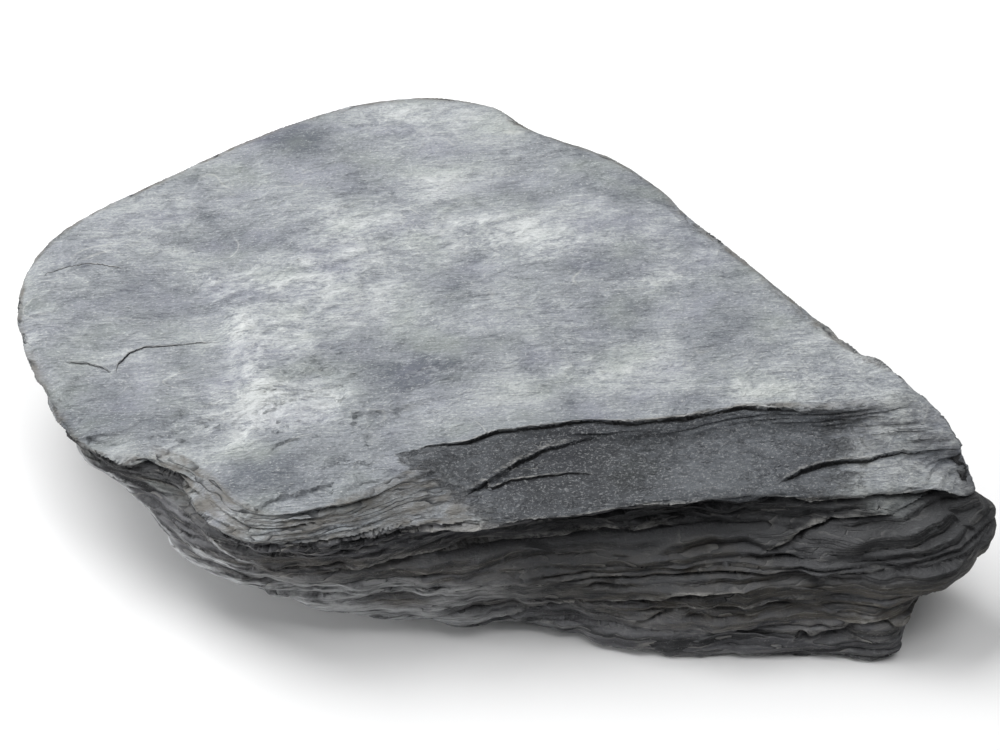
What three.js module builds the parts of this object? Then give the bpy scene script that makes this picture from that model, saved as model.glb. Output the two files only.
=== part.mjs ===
// A slab of slate, broken from the bed: one piece of stone, in millimetres, +Z up, standing on z = 0.
// Its top is a cleavage face that dips to the left. Its front has a low step, a sloping ledge below the
// step, and a broken side that is hollowed under the ledge and stands forward again at the foot.
// The slab is thin and undercut at its left end and thickest at its right end, which is a blunt nose.
import * as THREE from "three";

// ---- The bed: the plane of the top cleavage face ----
const BED_HEIGHT = 78; // above the ground, at x = 0, y = 0
const BED_RISE_X = 0.075; // rise per millimetre towards +X
const BED_RISE_Y = 0.037;

// ---- Outlines, each a closed line that runs counter-clockwise from the left end ----
// The edge of the flat top, as [x, y, depth below the bed]. Along the front it is the top of the step.
const PLATEAU = [
  [-208, 2, 1], [-201, -20, 2], [-194, -40, 3], [-183, -59, 3], [-173, -76, 3], [-144, -88, 3],
  [-126, -101, 3], [-113, -114, 4], [-101, -130, 4], [-88, -136, 4], [-55, -132, 4], [-34, -120, 3],
  [-7, -105, 0], [24, -98, 0], [60, -98, 0], [86, -96, 1], [112, -91, 2], [132, -90, 3],
  [156, -91, 4], [176, -86, 3], [184, -79, 3], [170, -68, 1], [148, -43, 1], [121, -2, 1],
  [92, 43, 1], [62, 91, 1], [23, 121, 1], [0, 147, 1], [-28, 159, 1], [-72, 154, 1],
  [-116, 131, 1], [-157, 101, 1], [-189, 76, 1], [-208, 48, 1],
];
// The rim, where the top turns over into the side, as [x, y, depth below the bed].
const RIM = [
  [-215, -6, 3], [-207, -24, 4], [-200, -44, 5], [-190, -62, 5], [-180, -82, 5], [-166, -94, 6],
  [-143, -99, 6], [-131, -104, 7], [-113, -129, 9], [-100, -144, 11], [-86, -148, 13], [-62, -146, 14],
  [-38, -141, 14], [8, -138, 15], [44, -135, 16], [71, -132, 17], [105, -128, 18], [139, -126, 21],
  [164, -125, 22], [184, -121, 25], [199, -122, 29], [211, -122, 35], [218, -118, 38], [215, -111, 30],
  [207, -104, 19], [200, -95, 11], [188, -80, 7], [173, -69, 4], [154, -43, 3], [143, -25, 3],
  [127, 3, 3], [111, 29, 3], [99, 46, 3], [86, 72, 3], [68, 96, 3], [48, 113, 3], [28, 126, 3],
  [13, 141, 3],
  [6, 154, 3], [-10, 160, 3], [-28, 166, 3], [-54, 165, 3], [-76, 160, 3], [-119, 137, 3],
  [-161, 106, 3], [-193, 82, 3], [-207, 68, 3], [-217, 45, 3], [-219, 22, 3],
];
// The lower edge of the side, as [x, y, height above the ground].
const LOWER_EDGE = [
  [-186, -10, 38], [-182, -40, 40], [-175, -65, 41], [-168, -83, 40], [-159, -89, 38], [-149, -99, 35],
  [-140, -107, 31], [-133, -120, 28], [-121, -129, 25], [-103, -138, 22], [-86, -140, 18], [-61, -144, 12],
  [-35, -147, 8], [17, -143, 5], [36, -146, 4], [52, -153, 2], [93, -159, 1], [153, -161, 1],
  [175, -160, 2], [179, -155, 6], [180, -132, 9], [170, -85, 8], [142, -38, 8], [112, 5, 8],
  [86, 42, 8], [58, 84, 9], [26, 116, 10], [-4, 140, 11], [-32, 152, 12], [-70, 146, 16],
  [-112, 124, 22], [-152, 92, 29], [-182, 62, 34], [-192, 25, 37],
];
// The foot, the flat patch that the slab rests on, as [x, y].
const FOOT = [
  [-146, -30], [-132, -68], [-100, -98], [-61, -119], [-18, -130], [30, -137], [70, -149], [120, -154],
  [168, -154], [174, -135], [160, -90], [134, -40], [104, 2], [76, 44], [44, 80], [10, 110],
  [-32, 120], [-80, 108], [-122, 72], [-145, 20],
];

// ---- The step in the top and the hollow in the side ----
// The height of the step along the front, as [x, height]. It dies out at both ends.
const STEP = [[-40, 0], [-20, 1.2], [20, 3], [70, 4.5], [115, 5.5], [145, 4], [172, 0]];
const STEP_BEHIND = -80; // the step is only in front of this y
const HOLLOW_FRONT = 9; // how far the side is hollowed under the ledge
const HOLLOW_ELSEWHERE = 4;
// How far the nose swells out half way down instead, as [bearing in degrees, distance].
const NOSE = [[-52, 0], [-44, 5], [-39, 15], [-35, 29], [-32, 32], [-29, 24], [-25, 10], [-20, 0]];
const NOSE_WHOLE = 12; // a swell of this much leaves no hollow
const RAGGED = 1.3; // how far one sheet of the side stands out past the next

// ---- The left end lies a little lower than the rest of the top, past a soft ridge ----
const RIDGE_X = -108;
const RIDGE_WIDTH = 34;
const LEFT_END_DROP = 3.5;
const TOP_SWELL = 1.2; // the height of the low waves on the top

// ---- The mesh ----
const AXIS = new THREE.Vector2(0, -8); // every outline is seen all round from here
const SPOKES = 120;
const CROWDING = 0.38; // draws the spokes together towards the front right
const CROWDED_AT = THREE.MathUtils.degToRad(-48);
const TOP_RINGS = [0.14, 0.32, 0.48, 0.62, 0.74, 0.84, 0.92, 1]; // shares of the way out to the plateau's edge
const LEDGE_RINGS = [0.07, 0.35, 0.7, 1]; // shares of the way from the plateau's edge to the rim
const SIDE_RINGS = 13;
const UNDERSIDE_RINGS = [0.5, 1]; // shares of the way from the lower edge to the foot
const SAMPLES_PER_POINT = 30;

const bed = (x, y) => BED_HEIGHT + BED_RISE_X * x + BED_RISE_Y * y;
const { lerp, smoothstep, clamp } = THREE.MathUtils;

// Reads a list of [place, value] pairs at a place between them.
function readAlong(pairs, place) {
  const next = pairs.findIndex(([at]) => at > place);
  if (next <= 0) return next === 0 ? pairs[0][1] : pairs[pairs.length - 1][1];
  const [fromAt, from] = pairs[next - 1];
  const [toAt, to] = pairs[next];
  return lerp(from, to, (place - fromAt) / (toAt - fromAt));
}

// The directions of the spokes, counter-clockwise.
const directions = Array.from({ length: SPOKES }, (_, i) => {
  const even = (2 * Math.PI * i) / SPOKES;
  return even + CROWDING * Math.sin(even - CROWDED_AT - Math.PI);
});

// A direction as a bearing between -180 and 180 degrees.
function bearingInDegrees(direction) {
  return THREE.MathUtils.euclideanModulo(THREE.MathUtils.radToDeg(direction) + 180, 360) - 180;
}

// One point of a closed outline for each spoke, where the spoke crosses a smooth curve through its points.
function alongSpokes(points) {
  const curve = new THREE.CatmullRomCurve3(points, true, "centripetal");
  const samples = curve.getPoints(points.length * SAMPLES_PER_POINT);
  const bearing = (p) => Math.atan2(p.y - AXIS.y, p.x - AXIS.x);
  const turned = (angle) => angle - 2 * Math.PI * Math.round(angle / (2 * Math.PI));
  return directions.map((direction) => {
    for (let i = 1; i < samples.length; i++) {
      const before = turned(bearing(samples[i - 1]) - direction);
      const after = turned(bearing(samples[i]) - direction);
      if (before <= 0 && after > 0 && after - before < 1)
        return samples[i - 1].clone().lerp(samples[i], -before / (after - before));
    }
    throw new Error("a spoke misses an outline");
  });
}

const belowBed = ([x, y, depth]) => new THREE.Vector3(x, y, bed(x, y) - depth);
const plateau = alongSpokes(PLATEAU.map(belowBed));
const rim = alongSpokes(RIM.map(belowBed));
const lowerEdge = alongSpokes(LOWER_EDGE.map(([x, y, z]) => new THREE.Vector3(x, y, z)));
const foot = alongSpokes(FOOT.map(([x, y]) => new THREE.Vector3(x, y, 0)));

// How far the top lies from the bed inside the plateau's edge.
function topRelief(x, y) {
  const leftEnd = 1 - smoothstep(x, RIDGE_X - RIDGE_WIDTH / 2, RIDGE_X + RIDGE_WIDTH / 2);
  const swell = Math.sin(x / 41 + 0.8) * Math.cos(y / 33 - 0.4) + 0.6 * Math.sin(x / 19 - y / 27);
  return TOP_SWELL * swell - LEFT_END_DROP * leftEnd;
}

// The height of the step at a point of the plateau's edge.
function stepHeight(point) {
  return point.y < STEP_BEHIND ? readAlong(STEP, point.x) : 0;
}

// How far a sheet of the side stands out on one spoke. Each sheet wanders on its own, on three waves.
function sheetStandsOut(sheet, direction) {
  const wave = (turns, phase) => Math.sin(turns * direction + phase * sheet * sheet);
  return RAGGED * (wave(3, 2.3) + 0.7 * wave(8, 1.1) + 0.6 * wave(17, 3.7));
}

// A point of the side, a share of the way down from the rim to the lower edge.
function sidePoint(spoke, share, sheet) {
  const point = rim[spoke].clone().lerp(lowerEdge[spoke], share);
  const outward = new THREE.Vector3(point.x - AXIS.x, point.y - AXIS.y, 0).normalize();
  const front = smoothstep(-rim[spoke].y, 70, 125) * smoothstep(rim[spoke].x, -60, 20);
  const nose = readAlong(NOSE, bearingInDegrees(directions[spoke]));
  const hollow = lerp(HOLLOW_ELSEWHERE, HOLLOW_FRONT, front) * (1 - smoothstep(nose, 0, NOSE_WHOLE));
  const depth = hollow * Math.sin(Math.PI * clamp(share / 0.55, 0, 1)) ** 1.5;
  const swell = nose * Math.sin(Math.PI * share) ** 1.6;
  return point.addScaledVector(outward, sheetStandsOut(sheet, directions[spoke]) - depth + swell);
}

// ---- The rings of points, from the top's middle to the foot ----
const everySpoke = (pointAt) => directions.map((_, spoke) => pointAt(spoke));
const rings = [];
for (const share of TOP_RINGS)
  rings.push(everySpoke((spoke) => {
    const edge = plateau[spoke];
    const x = lerp(AXIS.x, edge.x, share);
    const y = lerp(AXIS.y, edge.y, share);
    const edgeDepth = bed(edge.x, edge.y) - edge.z;
    return new THREE.Vector3(x, y, bed(x, y) + topRelief(x, y) * (1 - share ** 6) - edgeDepth * share ** 4);
  }));
for (const share of LEDGE_RINGS)
  rings.push(everySpoke((spoke) => {
    const point = plateau[spoke].clone().lerp(rim[spoke], share);
    point.z -= stepHeight(plateau[spoke]) * (1 - share);
    return point;
  }));
for (let sheet = 1; sheet < SIDE_RINGS; sheet++)
  rings.push(everySpoke((spoke) => sidePoint(spoke, sheet / SIDE_RINGS, sheet)));
rings.push(lowerEdge);
for (const share of UNDERSIDE_RINGS)
  rings.push(everySpoke((spoke) => lowerEdge[spoke].clone().lerp(foot[spoke], share)));

// ---- One closed surface through the rings, with a point at the middle of the top and of the foot ----
function slabGeometry() {
  const topMiddle = new THREE.Vector3(AXIS.x, AXIS.y, bed(AXIS.x, AXIS.y) + topRelief(AXIS.x, AXIS.y));
  const footMiddle = new THREE.Vector3(AXIS.x, AXIS.y, 0);
  const points = [topMiddle, ...rings.flat(), footMiddle];
  const at = (ring, spoke) => 1 + ring * SPOKES + (spoke % SPOKES);
  const faces = [];
  for (let spoke = 0; spoke < SPOKES; spoke++) {
    faces.push(0, at(0, spoke), at(0, spoke + 1));
    faces.push(points.length - 1, at(rings.length - 1, spoke + 1), at(rings.length - 1, spoke));
    for (let ring = 0; ring + 1 < rings.length; ring++) {
      faces.push(at(ring, spoke), at(ring + 1, spoke), at(ring + 1, spoke + 1));
      faces.push(at(ring, spoke), at(ring + 1, spoke + 1), at(ring, spoke + 1));
    }
  }
  const geometry = new THREE.BufferGeometry().setFromPoints(points);
  geometry.setIndex(faces);
  return geometry;
}

// The origin is under the middle of the slab, on the ground.
function centred(geometry) {
  geometry.computeBoundingBox();
  const middle = geometry.boundingBox.getCenter(new THREE.Vector3());
  geometry.translate(-middle.x, -middle.y, -geometry.boundingBox.min.z);
  geometry.computeVertexNormals();
  return geometry;
}

const slate = new THREE.MeshStandardMaterial({ color: 0x8b9096, roughness: 0.85, metalness: 0 });
const slab = new THREE.Mesh(centred(slabGeometry()), slate);
slab.name = "slate_slab";

const group = new THREE.Group();
group.add(slab);
export default group;
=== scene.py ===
import itertools
import math

import bpy
import numpy as np
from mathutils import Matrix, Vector


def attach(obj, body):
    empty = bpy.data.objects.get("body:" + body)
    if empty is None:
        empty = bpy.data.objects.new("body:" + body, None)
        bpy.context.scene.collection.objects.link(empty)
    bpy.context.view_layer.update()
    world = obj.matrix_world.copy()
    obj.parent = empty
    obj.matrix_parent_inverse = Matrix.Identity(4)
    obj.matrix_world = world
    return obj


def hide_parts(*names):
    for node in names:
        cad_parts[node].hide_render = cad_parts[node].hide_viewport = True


bl_info = {
    "name": "Slate Slab",
    "version": (1, 0, 0),
    "blender": (4, 5, 0),
    "location": "View3D > Sidebar > Slate",
    "description": "A slab of slate with broken, layered sides, and a plain stage to see it on",
    "category": "Object",
}

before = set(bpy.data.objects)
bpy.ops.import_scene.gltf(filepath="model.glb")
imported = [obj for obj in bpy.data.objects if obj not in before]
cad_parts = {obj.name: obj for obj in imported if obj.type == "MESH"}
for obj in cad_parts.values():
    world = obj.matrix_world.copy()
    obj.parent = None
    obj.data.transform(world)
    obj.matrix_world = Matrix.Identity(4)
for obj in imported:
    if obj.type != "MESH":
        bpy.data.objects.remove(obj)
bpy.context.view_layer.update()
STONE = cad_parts["slate_slab"]

# ---- The bed: the plane that the sheets of the slate lie in ----
# Lengths in this file are in millimetres until a mesh is written, and the bed is where the CAD part has it:
# its height over the middle of the part, and how much it rises towards +X and +Y.
BED_HEIGHT = 78.0
BED_RISE = (0.075, 0.037)
BED_UP = np.array([-BED_RISE[0], -BED_RISE[1], 1.0]) / math.sqrt(1 + BED_RISE[0] ** 2 + BED_RISE[1] ** 2)

# ---- Features of this stone, each a line along its surface ----
# The lip of the step in the top, and the ledge below it.
LIP = [(-34, -110, 70), (-22, -107, 72), (-6, -107, 74), (6, -102, 76), (24, -100, 77), (45, -98, 79),
       (61, -100, 80), (87, -98, 81), (113, -92, 83), (132, -92, 84), (157, -93, 84)]
LEDGE_EDGE = [(-61, -148, 54), (-38, -143, 54), (-12, -141, 55), (17, -140, 59), (45, -137, 60),
              (67, -135, 61), (93, -132, 62), (118, -130, 63)]
# The cracks in the ledge, and in the shelf at its right.
S_CRACK = [(-8, -130, 62), (0, -125, 64), (9, -120, 66), (17, -114, 69), (30, -108, 71), (43, -105, 72),
           (56, -103, 74)]
S_BRANCH = [(0, -127, 64), (13, -122, 66), (28, -120, 66), (40, -119, 67), (51, -120, 67)]
RIGHT_SHELF = [(125, -124, 65), (136, -118, 67), (149, -115, 68), (166, -112, 68), (181, -107, 68),
               (194, -107, 67)]
# Cracks in the broken front.
LONG_CRACK = [(-70, -147, 34), (-57, -146, 36), (-38, -143, 39), (-17, -139, 40), (0, -136, 41),
              (17, -134, 40), (38, -135, 43), (59, -135, 45), (91, -133, 46)]
NOSE_CRACK = [(118, -130, 60), (140, -132, 59), (164, -131, 59), (184, -127, 58), (202, -123, 58)]
MIDDLE_CRACK = [(118, -139, 41), (131, -138, 44), (143, -138, 50), (155, -137, 52), (177, -135, 53)]
LOW_CRACK = [(65, -153, 14), (81, -153, 19), (93, -152, 22), (119, -153, 24), (144, -153, 26)]
FOOT_CRACK = [(-9, -148, 7), (9, -146, 10), (28, -145, 13), (45, -149, 21), (68, -148, 24), (93, -150, 29),
              (118, -150, 29)]
FOOT_PLATE = [(134, -158, 12), (141, -159, 10), (153, -159, 13), (165, -158, 18), (182, -148, 13)]
# Arcs where flakes have sprung off the low left end, and the rough ridge behind them.
LEFT_ARC = [(-165, -43, 66), (-164, -36, 66), (-160, -29, 66), (-153, -25, 66), (-146, -25, 66),
            (-132, -24, 67), (-118, -25, 68)]
EDGE_ARC = [(-190, -33, 63), (-179, -35, 64), (-172, -38, 65), (-166, -42, 66)]
FAR_ARC = [(-209, 29, 62), (-198, 35, 63), (-187, 37, 64), (-167, 31, 65)]
RIDGE = [(-153, 54, 67), (-139, 36, 68), (-126, 19, 69), (-112, -8, 69), (-105, -34, 68), (-96, -73, 68),
         (-100, -92, 66), (-105, -105, 65), (-117, -122, 62)]

# Near the top the sheets are thinner: by how much, and down to which depth below the bed.
THIN_SHEETS = 0.45
THIN_DEPTH = 19.0

# How far bands of the front stand out or set back, as (depth below the bed, depth, distance).
FRONT_SWELLS = [(20, 38, -6.5), (38, 58, 3.5), (58, 62, -2.0)]

# How far the broken edges of the thick beds, and of the thin sheets in them, stand out or set back, how deep
# the gaps between sheets go, and how far the whole side is set out to make up for those gaps.
BED_BREAK = 2.1
SHEET_BREAK = 1.4
GAP_DEPTH = 2.6
SET_OUT = 1.9

# A crack offset this large means that no crack is near.
NO_CRACK = 20.0

# A little under 200,000: the most triangles the stone is thinned out to.
MOST_TRIANGLES = 196000

# Darker and paler patches of the top, as (x, y, radius, how much paler).
PATCHES = [
    (-93, 127, 20, -0.8), (-116, 46, 20, -0.7), (-27, -57, 26, -1.6), (47, 10, 16, -0.6),
    (98, -29, 20, -0.5), (105, -57, 14, -0.5), (-20, -2, 15, -0.5), (-154, 3, 24, -0.2),
    (-158, 34, 20, -0.2), (62, -18, 12, -0.5),
    (18, 72, 20, -0.35), (70, -40, 14, -0.4), (-42, 135, 24, 0.6), (-64, 48, 24, 0.6), (8, 41, 20, 0.6),
    (36, 22, 15, 0.5), (-85, 12, 20, 0.6), (-92, -25, 18, 0.5), (-124, -70, 22, 0.5), (-168, -76, 24, -0.8),
    (77, -5, 14, 0.5), (47, -66, 18, 0.4), (-15, -32, 16, 0.3), (-66, -76, 22, 0.4), (-96, -137, 16, 0.5),
    (-26, 85, 24, 0.5), (30, -116, 32, -1.2), (-60, -112, 30, -0.4), (-90, -122, 26, -0.6),
    # The pale patches at (172, -98) and (125, -84) are painted light: they brighten the slope of the right
    # end as if more light fell there.
    (172, -98, 30, 0.3), (125, -84, 20, 0.3), (-30, 108, 60, -0.45),
]


class Crack:
    """A line where one sheet overhangs the next. The sheet above stands out and the one below sets back, and
    both come back to the plain surface over about the reach. Sizes are in millimetres."""

    def __init__(self, line, depth, width, stands_out, sets_back, reach):
        self.line = np.array(line, float)
        self.depth = depth
        self.width = width
        self.stands_out = stands_out
        self.sets_back = sets_back
        self.reach = reach


SIDE_CRACKS = [
    Crack(LEDGE_EDGE, 3.0, 0.8, 2.2, 2.0, 6),
    Crack(LONG_CRACK, 8.0, 1.2, 2.8, 1.5, 5),
    Crack(NOSE_CRACK, 7.0, 1.3, 1.0, 1.5, 5),
    Crack(MIDDLE_CRACK, 4.0, 1.0, 1.0, 0.5, 5),
    Crack(LOW_CRACK, 4.5, 1.0, 1.2, 1.0, 5),
    Crack(FOOT_CRACK, 3.5, 0.9, 1.2, 1.0, 5),
    Crack(FOOT_PLATE, 4.5, 1.2, 2.5, 2.0, 6),
]


class Step:
    """The edge of a sheet on an upward face, where the ground in front is lower. The drop fades out over the
    distances behind and in_front. Sizes are in millimetres, and thins is a share."""

    def __init__(self, line, drop, undercut, behind, in_front, width, thins=0.0):
        self.line = np.array(line, float)
        self.drop = drop
        self.undercut = undercut
        self.behind = behind
        self.in_front = in_front
        self.width = width
        self.thins = thins


TOP_STEPS = [
    Step(LIP, 1.5, 0.6, 9, 14, 0.5),
    Step(S_CRACK, 1.8, 0.8, 8, 26, 1.0, thins=0.75),
    Step(S_BRANCH, 1.0, 0.3, 5, 18, 0.4, thins=0.4),
    Step(RIGHT_SHELF, 2.0, 0.7, 8, 14, 0.65, thins=0.3),
    Step(LEFT_ARC, 0.8, 0.2, 10, 20, 0.3, thins=0.5),
    Step(EDGE_ARC, 0.8, 0.2, 8, 12, 0.3),
    Step(FAR_ARC, 0.5, 0.0, 10, 16, 0.2),
]


# ---- Noise ----
SLOPES = np.random.RandomState(5).normal(size=(1024, 3))
SLOPES /= np.linalg.norm(SLOPES, axis=1)[:, None]


def noise(points, seed=0):
    """Smooth noise from about -1 to 1, whose bumps are about one unit across."""
    cell = np.floor(points).astype(np.int64)
    part = points - cell
    fade = part**3 * (part * (part * 6 - 15) + 10)
    total = np.zeros(len(points))
    for corner in itertools.product((0, 1), repeat=3):
        x, y, z = (cell + corner).T
        key = (x * 73856093) ^ (y * 19349663) ^ (z * 83492791) ^ (seed * 40503 + 977)
        key = (key ^ (key >> 15)) * 2246822519
        slope = SLOPES[(key >> 11) & 1023]
        weight = np.ones(len(points))
        for axis, far in enumerate(corner):
            weight = weight * (fade[:, axis] if far else 1 - fade[:, axis])
        total += weight * ((part - corner) * slope).sum(1)
    return total * 1.7


def fractal(points, size, octaves, seed=0, roughness=0.5):
    """Noise on several scales. The largest bumps are size millimetres across, or that in each direction."""
    scaled = points / np.array(size, float)
    total = np.zeros(len(points))
    height = 1.0
    for octave in range(octaves):
        total += height * noise(scaled * 2.0**octave + 31.7 * octave, seed + octave)
        height *= roughness
    return total


def ramp(value, low, high):
    """0 at low, 1 at high, and smooth between."""
    share = np.clip((value - low) / (high - low), 0, 1)
    return share * share * (3 - 2 * share)


# ---- Sheets ----
def sheet_edges(thickness, spread, seed):
    """Depths below the bed where one sheet ends and the next begins."""
    rng = np.random.RandomState(seed)
    steps = thickness * np.exp(spread * rng.normal(size=400))
    steps = np.clip(steps, 0.4 * thickness, 3 * thickness)
    edges = -20 + np.cumsum(steps * THIN_SHEETS)
    deep = np.searchsorted(edges, THIN_DEPTH)
    return np.concatenate([edges[:deep], edges[deep - 1] + np.cumsum(steps[deep:])])


def in_sheets(depth, edges):
    """The number of the sheet at each depth, the depth inside it, and its thickness."""
    number = np.clip(np.searchsorted(edges, depth), 1, len(edges) - 1)
    return number, depth - edges[number - 1], edges[number] - edges[number - 1]


def broken_outline(place, number, seed):
    """How far a sheet's broken edge stands out, from about -1 to 1: smooth swells, and blocks with angular
    corners. Every sheet broke along a line of its own."""
    shifted = place + np.stack([number * 37.1, number * -23.9, number * 11.3], 1)
    total = 0.45 * fractal(shifted, (52, 52, 400), 4, seed, 0.5)
    for size, height in ((28, 0.5), (12, 0.22)):
        block = noise(shifted / np.array([size, size, 400.0]), seed + 40 + size)
        total += height * np.sign(block) * np.minimum(np.abs(block) * 6, 1)
    return total


def signed_distance(points, ups, line):
    """How far each point is above a line on the surface, how far from it, and the share of the way along."""
    lengths = np.linalg.norm(np.diff(line, axis=0), axis=1)
    starts = np.concatenate([[0], np.cumsum(lengths)])
    nearest = np.full(len(points), 1e9)
    above = np.zeros(len(points))
    along = np.zeros(len(points))
    for i, length in enumerate(lengths):
        way = (line[i + 1] - line[i]) / length
        share = np.clip((points - line[i]) @ way, 0, length)
        away = points - (line[i] + share[:, None] * way)
        distance = np.linalg.norm(away, axis=1)
        closer = distance < nearest
        nearest = np.where(closer, distance, nearest)
        above = np.where(closer, (away * ups).sum(1), above)
        along = np.where(closer, (starts[i] + share) / starts[-1], along)
    return above, nearest, along


# ---- The surface ----
def read_mesh(mesh):
    count = len(mesh.vertices)
    points = np.empty(count * 3, np.float32)
    mesh.vertices.foreach_get("co", points)
    normals = np.empty(count * 3, np.float32)
    mesh.vertex_normals.foreach_get("vector", normals)
    return points.reshape(-1, 3).astype(float) * 1000, normals.reshape(-1, 3).astype(float)


def write_mesh(mesh, points):
    mesh.vertices.foreach_set("co", (points / 1000).astype(np.float32).ravel())
    mesh.update()


def depth_below_bed(points):
    bed = BED_HEIGHT + points[:, 0] * BED_RISE[0] + points[:, 1] * BED_RISE[1]
    return (bed - points[:, 2]) * BED_UP[2]


class Surface:
    """The smooth stone, where the relief has moved it to, and where its cracks run."""

    def __init__(self, mesh):
        self.smooth, self.normals = read_mesh(mesh)
        self.points = self.smooth.copy()
        self.depth = depth_below_bed(self.smooth)
        self.facing_up = self.normals @ BED_UP
        self.outward = unit(self.normals - self.facing_up[:, None] * BED_UP)
        self.uphill = unit(BED_UP - self.facing_up[:, None] * self.normals)
        self.crack_offset = np.full(len(self.smooth), NO_CRACK)
        self.crack_share = np.zeros(len(self.smooth))
        x, y, z = self.smooth.T
        front = ramp(y, -80, -95)
        lip = np.array([(-60, -118, 0)] + LIP + [(180, -88, 0), (230, -70, 0)], float) * (1, 1, 0)
        behind = np.tile([0.0, 1.0, 0.0], (len(x), 1))
        below_lip = -signed_distance(self.smooth * (1, 1, 0), behind, lip)[0]
        start = LIP[0][0] - (y - LIP[0][1]) * 1.3
        self.ledge = ramp(below_lip, -0.5, 1.0) * ramp(x - start, -12, 14) * ramp(x, 172, 135)
        self.ledge *= ramp(self.facing_up, 0.1, 0.35)
        self.ledge *= ramp(self.depth, 26, 20) * front
        self.right_end = ramp(x, 140, 175) * ramp(y, -60, -85)
        self.undercut = ramp(-x, 88, 104) * ramp(z, 56, 48) * ramp(-y, 20, 60)

    def mark_crack(self, near, above, away, along, width, thins=0.0):
        """Notes how far each place is above a crack, in crack widths, and how open the crack is there."""
        share = ramp(away, 6, 3.5) * ramp(along, 0, 0.12) * ramp(along, 1, 0.8) * (1 - thins * along)
        share *= 0.5 + 0.5 * ramp(fractal(self.smooth[near], 16, 2, 140), -0.35, 0.3)
        closer = share > self.crack_share[near]
        offset = np.clip(above / width, -NO_CRACK, NO_CRACK)
        self.crack_offset[near] = np.where(closer, offset, self.crack_offset[near])
        self.crack_share[near] = np.where(closer, share, self.crack_share[near])


def unit(vectors):
    return vectors / (np.linalg.norm(vectors, axis=1)[:, None] + 1e-6)


def split_sides(surface, settings):
    """Breaks the sides and slopes into sheets that stand out and set back, with cracks between them."""
    smooth = surface.smooth
    steep = np.abs(surface.facing_up)
    wavy = surface.depth + 1.5 * fractal(smooth, (130, 130, 90), 2, 3)
    wavy = wavy + 0.3 * fractal(smooth, (34, 34, 70), 3, 9, 0.6)
    sheets = sheet_edges(settings.sheet_thickness, 0.6, 12)
    beds = sheets[np.cumsum(np.random.RandomState(14).randint(2, 6, 100))[:90]]

    number = in_sheets(wavy, beds)[0]
    moved = BED_BREAK * broken_outline(smooth, number, 60)
    number, inside, thickness = in_sheets(wavy, sheets)
    moved += SHEET_BREAK * broken_outline(smooth, number, 70)
    share = 2 * inside / thickness - 1
    crowded = np.sign(share) * np.sqrt(np.abs(share))
    moved -= 0.2 * share**4
    which = number + (share > 0)
    opens = ramp(noise(smooth / np.array([40, 40, 900.0]) + (which * 7.7)[:, None], 75), 0.02, 0.3)
    moved -= GAP_DEPTH * opens * ramp(np.abs(crowded), 0.7, 1.0)
    moved += 0.35 * fractal(smooth, (13, 13, 6), 4, 21, 0.55)
    front = ramp(-smooth[:, 1], 85, 110) * ramp(smooth[:, 0], -30, 20)
    for shallow, deep, reach in FRONT_SWELLS:
        middle, half = (shallow + deep) / 2, (deep - shallow) / 2
        moved += reach * front * np.maximum(0, 1 - ((wavy - middle) / half) ** 2)
    x, y, z = smooth.T
    ragged = ramp(-x, 120, 150) * ramp(-y, -20, 0) * ramp(-y, 125, 105) * (1 - surface.undercut)
    chips = noise(smooth / np.array([19, 19, 8.0]), 151)
    moved += 1.4 * ragged * np.sign(chips) * np.minimum(np.abs(chips) * 4, 1)
    moved += 0.8 * fractal(smooth, (45, 45, 24), 3, 155)
    calm = ramp(-x, 100, 140) * ramp(y, -30, 10)
    calm = np.maximum(calm, ramp(y, -60, -20) * ramp(surface.depth, 14, 6))
    moved = moved * (1 - 0.65 * surface.undercut) * (1 - 0.65 * calm) + SET_OUT

    plain = (1 - 0.6 * calm) * (1 - 0.85 * surface.ledge)
    plain *= 1 - 0.85 * surface.right_end * ramp(surface.depth, 28, 20)
    patchy = 0.35 + 0.65 * ramp(noise(smooth / 27.0, 57), -0.3, 0.3)
    patchy = 1 + (patchy - 1) * ramp(steep, 0.6, 0.8)
    side = 1 - ramp(steep, 0.7, 0.97)
    moved = moved * side * (plain * patchy) ** 0.5 * settings.side_relief
    surface.points += surface.outward * moved[:, None]
    slope = ramp(surface.facing_up, 0.5, 0.7)
    tread = inside - thickness * ramp(inside / thickness, 0.7, 1.0)
    crowding = -(crowded - share) * thickness / 2
    settled = (crowding + (tread - crowding) * slope) * ramp(steep, 0.992, 0.97)
    surface.points += BED_UP * (settled * plain * patchy)[:, None]

    for i, crack in enumerate(SIDE_CRACKS):
        low, high = crack.line.min(0) - 16, crack.line.max(0) + 16
        near = np.where(((smooth > low) & (smooth < high)).all(1))[0]
        above, away, along = signed_distance(smooth[near], surface.uphill[near], crack.line)
        above = above + 0.7 * fractal(smooth[near], (16, 16, 16), 4, 100 + i, 0.55)
        fades = ramp(along, 0, 0.1) * ramp(along, 1, 0.9) * ramp(away, 14, 9)
        shift = crack.stands_out * np.exp(-above / crack.reach) * (above > 0)
        shift -= crack.sets_back * np.exp(above / crack.reach) * (above <= 0)
        shift -= crack.depth * np.exp(-(((above + 0.6 * crack.width) / crack.width) ** 2))
        surface.points[near] += surface.outward[near] * (shift * fades)[:, None]
        surface.mark_crack(near, above + 0.5 * crack.width, away, along, crack.width)


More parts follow.
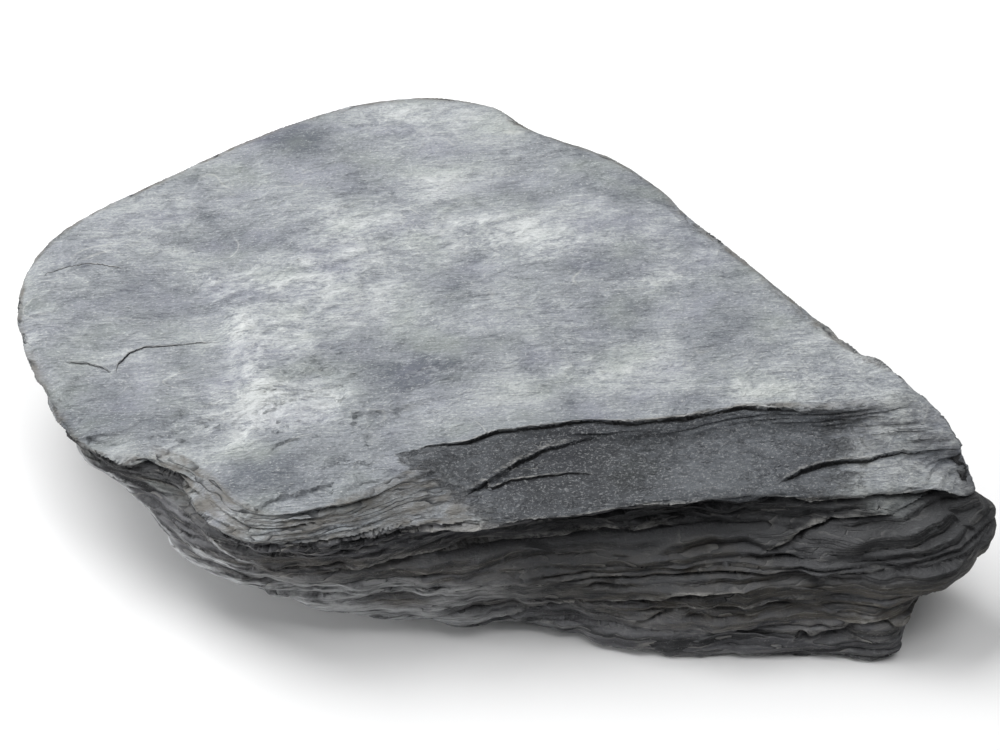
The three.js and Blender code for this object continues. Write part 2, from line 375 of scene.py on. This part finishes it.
def step_top(surface):
    """Cuts the steps and arcs into the upward faces."""
    smooth = surface.smooth
    for i, step in enumerate(TOP_STEPS):
        low, high = step.line.min(0) - 40, step.line.max(0) + 40
        near = np.where(((smooth > low) & (smooth < high)).all(1) & (surface.facing_up > 0.2))[0]
        line = step.line * (1, 1, 0)
        way = unit((line[-1] - line[0])[None])[0]
        behind = np.array([-way[1], way[0], 0.0])
        ups = np.tile(behind, (len(near), 1))
        above, away, along = signed_distance(smooth[near] * (1, 1, 0), ups, line)
        above = np.sign(above) * away + 0.6 * fractal(smooth[near], 15, 4, 120 + i, 0.55)
        fades = ramp(along, 0, 0.15) * ramp(along, 1, 0.85) * ramp(surface.facing_up[near], 0.2, 0.5)
        fades *= 1 - step.thins * along
        shift = 0.3 * step.drop * np.exp(-above / step.behind) * (above > 0)
        shift -= 0.7 * step.drop * np.exp(above / step.in_front) * (above <= 0)
        surface.points[near] += BED_UP * (shift * fades)[:, None]
        tucked = step.undercut * np.exp(-((above / 1.2) ** 2)) * (above <= 0)
        surface.points[near] += (behind - 0.5 * BED_UP) * (tucked * fades)[:, None]
        surface.mark_crack(near, above + 0.5 * step.width, away, along, step.width, step.thins)


def raise_ridge(surface):
    """Raises the rough ridge at the left, with a shallow dip beyond it."""
    line = np.array(RIDGE, float) * (1, 1, 0)
    left = np.tile([-1.0, 0.0, 0.0], (len(surface.smooth), 1))
    beyond, away, along = signed_distance(surface.smooth * (1, 1, 0), left, line)
    ends = ramp(along, 0, 0.15) * ramp(along, 1, 0.85) * ramp(surface.facing_up, 0.75, 0.95)
    rough = 0.6 + 0.7 * fractal(surface.smooth, (9, 9, 400), 4, 131, 0.6)
    height = 0.9 * rough * np.exp(-((away / 6) ** 2))
    height = height - 1.3 * (beyond > 0) * ramp(away, 0, 12) * ramp(away, 50, 20)
    surface.points += BED_UP * (height * ends)[:, None]
    surface.ridge = np.exp(-((away / 7) ** 2)) * ends
    surface.dip = (beyond > 0) * ramp(away, 2, 9) * ramp(away, 70, 50) * ends


def flake_top(surface, settings):
    """Leaves flake scars and ripples on the surfaces that face up."""
    points = surface.smooth
    top = ramp(surface.facing_up, 0.75, 0.95)
    moved = 0.9 * fractal(points, (70, 34, 400), 3, 41) + 0.25 * fractal(points, (15, 8, 400), 4, 45, 0.6)
    rng = np.random.RandomState(77)
    edge_noise = fractal(points, (12, 8, 400), 4, 47, 0.55)
    rough = 0.45 + 1.1 * ramp(points[:, 1], -20, -90) * ramp(points[:, 0], 10, -60)
    for _ in range(settings.flakes):
        centre = np.array([rng.uniform(-215, 215), rng.uniform(-160, 160)])
        length, breadth = np.exp(rng.normal(2.75, 0.5)) * np.array([1.0, rng.uniform(0.35, 0.7)])
        turn = rng.normal(-0.05, 0.35)
        tilt = rng.uniform(0, 2 * math.pi)
        depth = rng.uniform(0.3, 0.95)
        near = np.where(np.abs(points[:, :2] - centre).max(1) < 1.6 * length)[0]
        away = points[near, :2] - centre
        lengthways, breadthways = (math.cos(turn), math.sin(turn)), (-math.sin(turn), math.cos(turn))
        across = np.stack([away @ lengthways, away @ breadthways], 1)
        across /= (length, breadth)
        radius = np.linalg.norm(across, axis=1) + 0.3 * edge_noise[near]
        falls = 0.5 + 0.5 * (across @ (math.cos(tilt), math.sin(tilt)))
        moved[near] -= depth * rough[near] * ramp(radius, 1.0, 0.92) * np.clip(falls, 0, 1)
    surface.points += BED_UP * (moved * top * settings.top_relief)[:, None]


def mark_regions(mesh, surface):
    """Stores what the slate material reads at each place of the smooth stone:

    weather   how much it has the pale cleavage face, not the broken edge
    patch     how much paler or darker than the rest of the top it is
    warmth_and_shade  how warm the broken side is, or below 0 how much painted shade darkens the band under
    the ledge
    shade     how much painted shade darkens the front below the ledge and the strip under the far-left rim
    slope     how far it slopes, so that the leaves show on it
    undercut  how much painted light makes a face that turns down pale, under the far-left end and low on the
    front
    ledge     how much it is the smooth ledge
    crack_offset, crack_share   how far above a crack it is, in crack widths, and how open the crack is
    """
    x, y, z = surface.smooth.T
    right = surface.right_end
    rim = ramp(surface.depth, 13, 7) * np.maximum(ramp(x, -60, -100), ramp(y, -70, -40))
    weather = ramp(surface.facing_up, 0.4 - 0.5 * rim, 0.85 - 0.4 * rim)
    weather *= 1 - 0.8 * ramp(surface.depth, 15 + 12 * right, 24 + 12 * right)
    weather = np.maximum(weather, 0.35 * ramp(y, -50, 10) * ramp(surface.facing_up, -0.6, -0.2))
    patch = 0.6 * surface.ridge - 0.12 * surface.dip
    for patch_x, patch_y, radius, strength in PATCHES:
        away = (surface.smooth[:, :2] - (patch_x, patch_y)) / (radius * 1.25, radius * 0.8)
        patch += strength * np.exp(-(away**2).sum(1))
    warmth_and_shade = ramp(y, -90, -120) * ramp(z, 46, 40) * ramp(z, 8, 18)
    warmth_and_shade = warmth_and_shade * (0.6 + 0.4 * ramp(x, 20, 80)) * ramp(x, -130, -90)
    reach = 40 + 14 * ramp(x, 90, 150)
    front_right = ramp(y, -80, -105) * ramp(x, -10, 40)
    # Painted shade: darkens the front below the ledge, and the strip under the far-left rim.
    shade = front_right * ramp(surface.depth, 17, 22) * ramp(z, 16, 26)
    shade = shade * (0.5 + 0.12 * ramp(x, 150, 170))
    # Painted shade: below 0 it blackens the overhung band under the ledge edge, where the rock is also dark.
    warmth_and_shade -= front_right * ramp(surface.depth, 17, 22) * ramp(surface.depth, reach, reach - 8)
    shade *= 1 - 0.8 * ramp(x, 145, 170) * ramp(z, 40, 28)
    under_rim = ramp(-x, 96, 112) * ramp(z, 45, 49) * ramp(z, 61, 57) * ramp(y, -50, -80)
    shade = np.maximum(shade, 0.6 * under_rim)
    # Painted light: faces turned down low on the front are made pale, as if lit from below.
    low = 0.8 * ramp(z, 36, 26) * ramp(x, 60, -50) + 0.16 * ramp(z, 20, 12) * ramp(x, 0, 60)
    low *= ramp(surface.facing_up, 0.5, 0.2) * ramp(y, -40, -80)
    slope = ramp(surface.facing_up, 0.98, 0.92) * (1 - surface.ledge) * (1 - 0.8 * right)
    for name, values in (
        ("weather", weather),
        ("patch", patch),
        ("warmth_and_shade", warmth_and_shade),
        ("shade", shade),
        ("slope", slope),
        ("undercut", np.maximum(surface.undercut * ramp(surface.facing_up, 0.35, 0.1), low)),
        ("ledge", surface.ledge),
        ("crack_offset", surface.crack_offset),
        ("crack_share", surface.crack_share),
    ):
        layer = mesh.attributes.new(name, "FLOAT", "POINT")
        layer.data.foreach_set("value", values.astype(np.float32))


def mark_dust(mesh):
    """Stores how much of each place faces up once it is broken, where pale dust settles."""
    facing_up = read_mesh(mesh)[1] @ BED_UP
    layer = mesh.attributes.new("dust", "FLOAT", "POINT")
    layer.data.foreach_set("value", ramp(facing_up, 0.5, 0.95).astype(np.float32))


def keep_on_ground(points):
    points[:, 2] = np.maximum(points[:, 2], 0.0)
    return points


# ---- Settings ----
def linear(hex_colour):
    """An sRGB hex colour as linear red, green, blue and alpha."""
    parts = [int(hex_colour[i : i + 2], 16) / 255 for i in (1, 3, 5)]
    return (*(c / 12.92 if c <= 0.04045 else ((c + 0.055) / 1.055) ** 2.4 for c in parts), 1.0)


class SlateSettings(bpy.types.PropertyGroup):
    grain: bpy.props.FloatProperty(
        name="Mesh grain", description="Spacing of the points that carry the relief", default=0.00078,
        unit="LENGTH")
    sheet_thickness: bpy.props.FloatProperty(
        name="Sheet thickness", description="Usual thickness of the sheets, in millimetres", default=2.4)
    flakes: bpy.props.IntProperty(
        name="Flakes", description="How many flakes have sprung off the top", default=420, min=0)
    side_relief: bpy.props.FloatProperty(
        name="Side relief", description="How strongly the sides are broken", default=1.0,
        subtype="FACTOR")
    top_relief: bpy.props.FloatProperty(
        name="Top relief", description="How strongly the top is flaked", default=1.0, subtype="FACTOR")


class StageSettings(bpy.types.PropertyGroup):
    key: bpy.props.FloatProperty(
        name="Key light", description="Power of the large soft light", default=55.0, unit="POWER")


# ---- The stone ----
def select_only(piece):
    bpy.ops.object.select_all(action="DESELECT")
    piece.select_set(True)
    bpy.context.view_layer.objects.active = piece


def apply_modifier(piece, kind, name, **settings):
    modifier = piece.modifiers.new(name, kind)
    for key, value in settings.items():
        setattr(modifier, key, value)
    select_only(piece)
    bpy.ops.object.modifier_apply(modifier=name)


def rough_out(settings):
    """The CAD shape as one smooth closed mesh, fine enough to carry the relief."""
    piece = bpy.data.objects.new("slate_stone", STONE.data.copy())
    bpy.context.scene.collection.objects.link(piece)
    piece.data.materials.clear()
    select_only(piece)
    bpy.ops.object.mode_set(mode="EDIT")
    bpy.ops.mesh.select_all(action="SELECT")
    bpy.ops.mesh.customdata_custom_splitnormals_clear()
    bpy.ops.mesh.remove_doubles(threshold=0.00001)
    bpy.ops.mesh.tris_convert_to_quads(face_threshold=0.7, shape_threshold=0.7)
    bpy.ops.object.mode_set(mode="OBJECT")
    apply_modifier(piece, "SUBSURF", "Soften", levels=2, render_levels=2)
    size = settings.grain * 1
    apply_modifier(piece, "REMESH", "Even mesh", mode="VOXEL", voxel_size=size, adaptivity=0.0)
    apply_modifier(piece, "SMOOTH", "Even normals", factor=0.5, iterations=4)
    return piece


class OBJECT_OT_add_slate_slab(bpy.types.Operator):
    """Add the slab of slate, with its broken sides and flaked top"""
    bl_idname = "object.add_slate_slab"
    bl_label = "Slate slab"

    def execute(self, context):
        settings = context.scene.slate
        piece = rough_out(settings)
        surface = Surface(piece.data)
        split_sides(surface, settings)
        step_top(surface)
        raise_ridge(surface)
        flake_top(surface, settings)
        mark_regions(piece.data, surface)
        write_mesh(piece.data, keep_on_ground(surface.points))
        triangles = 2 * len(piece.data.polygons)
        apply_modifier(piece, "DECIMATE", "Thin out", ratio=min(1.0, MOST_TRIANGLES / triangles))
        mark_dust(piece.data)
        select_only(piece)
        bpy.ops.object.shade_smooth_by_angle(angle=math.radians(40))
        piece.data.materials.append(cleaved_slate())
        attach(piece, "root")
        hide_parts("slate_slab")
        return {"FINISHED"}


# ---- The slate ----
# Heights of the bump are in metres, and so is the thickness of the finest leaves.
LEAF_THICKNESS = 0.0015
MARKS = ("weather", "patch", "warmth_and_shade", "shade", "slope", "undercut", "ledge", "crack_offset", "crack_share",
         "dust")


def add_node(tree, kind, inputs=(), output=0, **settings):
    """Adds a node with its settings and gives one of its outputs. An input is a value, or the output that
    feeds it."""
    made = tree.nodes.new("ShaderNode" + kind)
    for name, value in settings.items():
        setattr(made, name, value)
    for key, value in dict(inputs).items():
        if isinstance(value, bpy.types.NodeSocket):
            tree.links.new(value, made.inputs[key])
        else:
            made.inputs[key].default_value = value
    return made.outputs[output]


def cleaved_slate():
    """Slate, cleaved and weathered: a matt, pale, streaked cleavage face, and dark edges in thin leaves."""
    material = bpy.data.materials.new("slate, cleaved and weathered")
    material.use_nodes = True
    tree = material.node_tree
    place = add_node(tree, "TexCoord", output="Object")
    tilt = (math.atan(-BED_RISE[1]), math.atan(BED_RISE[0]), 0)
    bed = add_node(tree, "Mapping", {"Vector": place, "Rotation": tilt})
    marks = {name: add_node(tree, "Attribute", output="Fac", attribute_name=name) for name in MARKS}

    def pattern(size_mm, detail, roughness, distortion=0.0, turn=0.0):
        """A noise from 0 to 1, with grains of this length and breadth in the bed and thickness across it."""
        scale = [1000.0 / size for size in size_mm]
        sized = add_node(tree, "Mapping", {"Vector": bed, "Rotation": (0, 0, turn), "Scale": scale})
        grains = {"Vector": sized, "Scale": 1.0, "Detail": detail, "Roughness": roughness,
                  "Distortion": distortion}
        return add_node(tree, "TexNoise", grains)

    def add_up(*parts, start=0.0, about=0.0):
        """Adds up patterns, each times its share, and each counted from the value about."""
        middle = about * sum(share for _, share in parts)
        total = add_node(tree, "Math", {0: start, 1: middle}, operation="SUBTRACT")
        for part, share in parts:
            total = add_node(tree, "Math", {0: part, 1: share, 2: total}, operation="MULTIPLY_ADD")
        return total

    def where(*limits, share=1.0, mark=None):
        """A mask that a share and a mark scale: each pattern brings it from 0 at its low limit to 1 at its
        high one."""
        mask = add_node(tree, "Math", {0: marks[mark] if mark else 1.0, 1: share}, operation="MULTIPLY")
        for value, low, high in limits:
            reached = add_node(tree, "MapRange", {0: value, 1: low, 2: high}, clamp=True)
            mask = add_node(tree, "Math", {0: mask, 1: reached}, operation="MULTIPLY")
        return mask

    def paint(under, over, *limits, share=1.0, mark=None):
        """Lays a colour over another through such a mask. A colour is hex, or the output that gives it."""
        under, over = (linear(colour) if isinstance(colour, str) else colour for colour in (under, over))
        mix = {0: where(*limits, share=share, mark=mark), 6: under, 7: over}
        return add_node(tree, "Mix", mix, output=2, data_type="RGBA", clamp_factor=True)

    # The finest, fleck and grit, stand for crystals too small to show, and are drawn as coarse as shows.
    blotch = pattern((48, 42, 48), 5, 0.6, 0.5)
    flake = pattern((15, 9, 9), 5, 0.6, 0.7)
    mottle = pattern((4.6, 2.8, 3), 5, 0.7, 0.5)
    streak = pattern((7.5, 1.0, 1.0), 4, 0.6, 0.4, turn=0.05)
    fleck = pattern((1.4, 0.8, 0.8), 3, 0.65, 0.3)
    knots = pattern((13, 13, 2.2), 5, 0.65, 0.4)
    opening = pattern((24, 24, 2.4), 3, 0.6)
    grit = pattern((1.1, 1.1, 0.7), 4, 0.7)

    # The flakes end in small steps: the number of the step, and the place between one step and the next.
    steps = add_node(tree, "Math", {0: flake, 1: 0.055}, operation="DIVIDE")
    step_part = add_node(tree, "Math", {0: steps}, operation="FRACT")
    step_number = add_node(tree, "Math", {0: steps}, operation="FLOOR")
    hackle = add_up((where((step_part, 0.75, 1.0)), 1.0), start=step_number)

    # The leaves lie along the bed, and wander a little. Each has a tone of its own.
    leaf = add_node(tree, "SeparateXYZ", {0: bed}, output=2)
    leaf = add_node(tree, "Math", {0: leaf, 1: LEAF_THICKNESS}, operation="DIVIDE")
    uneven, wander = pattern((400, 400, 9), 2, 0.55), pattern((70, 70, 20), 4, 0.55)
    leaf = add_up((uneven, 14.0), (wander, 10.0), start=leaf, about=0.5)
    leaf_part = add_node(tree, "Math", {0: leaf}, operation="FRACT")
    leaf_number = add_node(tree, "Math", {0: leaf}, operation="FLOOR")
    leaf_tone = add_node(tree, "TexWhiteNoise", {"W": leaf_number}, noise_dimensions="1D")

    # The top: pale where it has weathered, darker where a fresh flake has come off.
    broken = add_up((flake, 1.0), (mottle, 1.0), about=0.5)
    tone = add_up((blotch, 1.5), (flake, 1.0), (mottle, 1.0), (streak, 0.9), (fleck, 0.7), about=0.5)
    tone = add_up((where((broken, -0.22, 0.22), mark="patch"), 0.75), start=tone)
    top = paint("#5a5f66", "#93979b", (tone, -0.55, 0.0))
    top = paint(top, "#c4c7c7", (tone, 0.0, 0.55))
    hue = pattern((40, 30, 40), 3, 0.55)
    top = paint(top, "#9ba398", (hue, 0.52, 0.7), share=0.28)
    top = paint(top, "#838496", (hue, 0.48, 0.3), share=0.28)
    top = paint(top, "#dcdcd8", (fleck, 0.6, 0.66), share=0.3)
    top = paint(top, "#4d5157", (fleck, 0.4, 0.34), share=0.2)
    # Painted shade: a thin dark line along the foot of some of the small steps.
    top = paint(top, "#4b4f55", (step_part, 0.14, 0.0), (mottle, 0.5, 0.6), share=0.3)
    # Thin pale veins run where one pattern crosses its middle.
    vein, comes_and_goes = pattern((90, 60, 90), 2, 0.5, 0.2), pattern((30, 30, 30), 2, 0.5)
    near_middle = ((vein, 0.495, 0.5), (vein, 0.505, 0.5))
    top = paint(top, "#d6d6d0", *near_middle, (comes_and_goes, 0.52, 0.62), share=0.3)
    top = paint(top, "#706e6a", (knots, 0.36, 0.62), mark="slope")
    # Painted shade: a dark line in the gap at the foot of the leaves where the top slopes.
    top = paint(top, "#2d2f32", (leaf_part, 0.34, 0.08), (opening, 0.42, 0.56), mark="slope")

    # The sides: dark, in thin leaves, some with a black gap at the edge, which is painted shade, and some
    # with a pale edge, which is a painted highlight.
    side_tone = add_up((leaf_tone, 0.35), (knots, 0.8))
    side = paint("#1c1d1f", "#606064", (side_tone, 0.3, 0.85))
    side = paint(side, "#5a5449", (knots, 0.38, 0.6), share=0.85, mark="warmth_and_shade")
    side = paint(side, "#82817e", (knots, 0.58, 0.7), share=0.4)
    # Painted light: faces turned down, under the far-left end and low on the front, are made pale as if lit
    # from below.
    side = paint(side, "#c6c8ca", (knots, 0.3, 0.58), mark="undercut")
    # Painted shade: the band in the overhang under the ledge is blackened here, where the rock is also dark.
    side = paint(side, "#161719", share=-0.5, mark="warmth_and_shade")
    side = paint(side, "#9a9a98", (grit, 0.58, 0.7), share=0.5)
    # Painted shade: a black line in the gap at the foot of the leaves that open.
    side = paint(side, "#121315", (leaf_part, 0.22, 0.02), (opening, 0.4, 0.56), share=0.9)
    # Painted highlight: a pale line along the upper edge of some leaves.
    side = paint(side, "#a5a39e", (leaf_part, 0.75, 0.95), (knots, 0.46, 0.6), share=0.55)
    side = paint(side, "#96979a", share=0.4, mark="dust")
    # Painted shade: the front below the ledge and the strip under the far-left rim are darkened.
    side = paint(side, "#0f1012", mark="shade")

    # The ledge: a fresh, smooth, blue-grey face with a pale speckle.
    ledge_tone = add_up((mottle, 1.0), (blotch, 1.0), about=0.5)
    ledge_tone = add_up((marks["patch"], 0.3), start=ledge_tone)
    ledge = paint("#27292d", "#595d62", (ledge_tone, -0.3, 0.2))
    ledge = paint(ledge, "#8d8f91", (fleck, 0.55, 0.64), share=0.6)
    ledge = paint(ledge, "#a3a4a4", (grit, 0.6, 0.66), share=0.6)
    ledge = paint(ledge, "#26282b", (streak, 0.4, 0.33), share=0.6)

    # Which of the three is where, and the cracks: drawn black as painted shade, with a pale lip above.
    weathered = where((add_up((mottle, 0.7), start=marks["weather"], about=0.5), 0.2, 0.8))
    ragged_ledge = add_up((broken, 2.0), start=marks["ledge"])
    on_ledge = where((ragged_ledge, 0.25, 0.75), (marks["ledge"], 0.0, 0.15))
    off_crack = add_up((mottle, 2.0), start=marks["crack_offset"], about=0.5)
    off_crack = add_node(tree, "Math", {0: off_crack}, operation="ABSOLUTE")
    crack = where((add_up((off_crack, -1.0), start=marks["crack_share"]), -0.1, 0.35))
    colour = paint(side, top, share=weathered)
    colour = paint(colour, ledge, (on_ledge, 0.0, 1.0), share=0.9)
    lip = ((marks["crack_offset"], 0.8, 1.3), (marks["crack_offset"], 3.2, 1.8), (mottle, 0.4, 0.55))
    colour = paint(colour, "#b3b2ae", *lip, share=0.6, mark="crack_share")
    # Painted shade: each crack is drawn black beneath its overhanging edge.
    colour = paint(colour, "#131416", (crack, 0.0, 1.0), share=0.9)

    top_height = add_up((flake, 0.0012), (hackle, 0.0001), (mottle, 0.0008), (streak, 0.0006),
                        (fleck, 0.0004))
    gap = where((leaf_part, 0.3, 0.0), (opening, 0.4, 0.56))
    side_height = add_up((leaf_tone, 0.0006), (grit, 0.0008), (gap, -0.0005), (knots, 0.002))
    ledge_height = add_up((grit, 0.0005), (mottle, 0.0007))
    height = add_node(tree, "Mix", {0: weathered, 2: side_height, 3: top_height})
    height = add_node(tree, "Mix", {0: on_ledge, 2: height, 3: ledge_height})
    height = add_up((crack, -0.001), start=height)
    bump = add_node(tree, "Bump", {"Height": height, "Distance": 1.0, "Strength": 1.0})

    # Dull, with the faint sheen of its mica.
    shader = tree.nodes["Principled BSDF"]
    shader.inputs["Roughness"].default_value = 0.62
    shader.inputs["IOR"].default_value = 1.5
    shader.inputs["Specular IOR Level"].default_value = 0.35
    tree.links.new(colour, shader.inputs["Base Color"])
    tree.links.new(bump, shader.inputs["Normal"])
    return material


# ---- The stage ----
VIEW_TARGET = (0.0085, -0.0186, 0.040)
VIEW_DISTANCE = 1.095
VIEW_ELEVATION = math.radians(38)
VIEW_LENS = 85
VIEW_SENSOR = 36


def add_softbox(name, place, aim, size, power):
    bpy.ops.object.light_add(type="AREA", location=place)
    light = bpy.context.object
    light.name = name
    light.data.shape = "RECTANGLE"
    light.data.size, light.data.size_y = size
    light.data.energy = power
    light.rotation_euler = (Vector(aim) - Vector(place)).to_track_quat("-Z", "Y").to_euler()
    return light


class SCENE_OT_add_stage(bpy.types.Operator):
    """Add the floor, the lights and the camera"""
    bl_idname = "scene.add_slate_stage"
    bl_label = "Stage"

    def execute(self, context):
        scene = context.scene
        bpy.ops.mesh.primitive_plane_add(size=20, location=(0, 0, 0))
        floor = context.object
        floor.name = "floor"
        paper = bpy.data.materials.new("white paper sweep")
        paper.use_nodes = True
        shader = paper.node_tree.nodes["Principled BSDF"]
        shader.inputs["Base Color"].default_value = linear("#eeeeee")
        shader.inputs["Roughness"].default_value = 0.9
        floor.data.materials.append(paper)
        add_softbox("key", (-0.9, 1.0, 1.7), (0, 0, 0), (1.6, 1.6), scene.slate_stage.key)
        add_softbox("left fill", (-1.6, -0.35, 0.35), (0, 0, 0.04), (0.8, 0.5), 15)
        add_softbox("top", (0.8, -0.1, 2.0), (0, 0, 0), (1.6, 1.6), 20)
        world = bpy.data.worlds.new("studio")
        world.use_nodes = True
        world.node_tree.nodes["Background"].inputs["Color"].default_value = linear("#f2f4f6")
        world.node_tree.nodes["Background"].inputs["Strength"].default_value = 0.18
        scene.world = world
        back = Vector((0, -math.cos(VIEW_ELEVATION), math.sin(VIEW_ELEVATION)))
        bpy.ops.object.camera_add(location=Vector(VIEW_TARGET) + back * VIEW_DISTANCE)
        camera = context.object
        camera.rotation_euler = (-back).to_track_quat("-Z", "Y").to_euler()
        camera.data.lens = VIEW_LENS
        camera.data.sensor_width = VIEW_SENSOR
        scene.camera = camera
        scene.view_settings.view_transform = "Standard"
        return {"FINISHED"}


class VIEW3D_PT_slate(bpy.types.Panel):
    bl_label = "Slate"
    bl_space_type = "VIEW_3D"
    bl_region_type = "UI"
    bl_category = "Slate"

    def draw(self, context):
        layout = self.layout
        for name in SlateSettings.__annotations__:
            layout.prop(context.scene.slate, name)
        layout.operator("object.add_slate_slab")
        for name in StageSettings.__annotations__:
            layout.prop(context.scene.slate_stage, name)
        layout.operator("scene.add_slate_stage")


CLASSES = (SlateSettings, StageSettings, OBJECT_OT_add_slate_slab, SCENE_OT_add_stage, VIEW3D_PT_slate)


def register():
    for each in CLASSES:
        bpy.utils.register_class(each)
    bpy.types.Scene.slate = bpy.props.PointerProperty(type=SlateSettings)
    bpy.types.Scene.slate_stage = bpy.props.PointerProperty(type=StageSettings)


def unregister():
    del bpy.types.Scene.slate_stage
    del bpy.types.Scene.slate
    for each in reversed(CLASSES):
        bpy.utils.unregister_class(each)


def main():
    register()
    bpy.ops.object.add_slate_slab()
    bpy.ops.scene.add_slate_stage()


if __name__ == "__main__":
    main()
